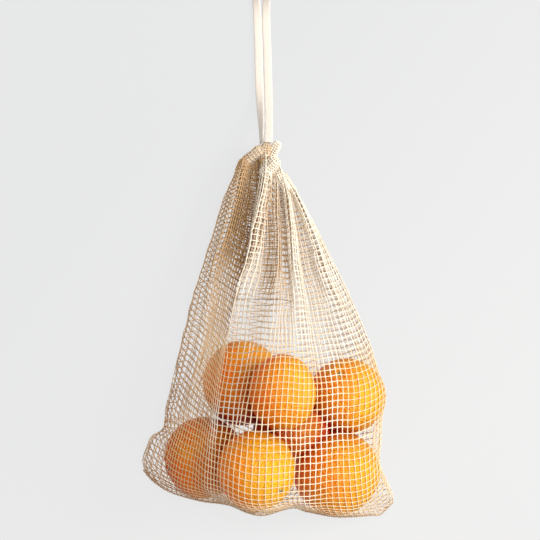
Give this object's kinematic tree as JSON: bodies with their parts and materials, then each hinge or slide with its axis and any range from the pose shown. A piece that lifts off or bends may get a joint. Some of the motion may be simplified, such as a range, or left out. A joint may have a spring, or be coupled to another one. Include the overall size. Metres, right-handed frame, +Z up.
{
  "type": "drawstring net produce bag filled with oranges",
  "caption": "Undyed open-net drawstring produce bag filled with oranges, lying on its back with its flat drawstring laid out in line with the neck.",
  "frame": {"origin": "middle of the filled bag's footprint box, on the floor that it lies on", "axes": "+X across the bag to the right as it is shown, +Y from the bottom seam to the neck and drawstring, +Z up from the floor to the shown side"},
  "size_m": [0.2575, 0.5821, 0.139],
  "materials": {
    "net": "undyed open square net of soft twisted yarn, matt",
    "tape": "pale woven flat tape, matt"
  },
  "bodies": {
    "root": {"net_bag": "net", "drawstring": "tape"}
  },
  "joints": []
}
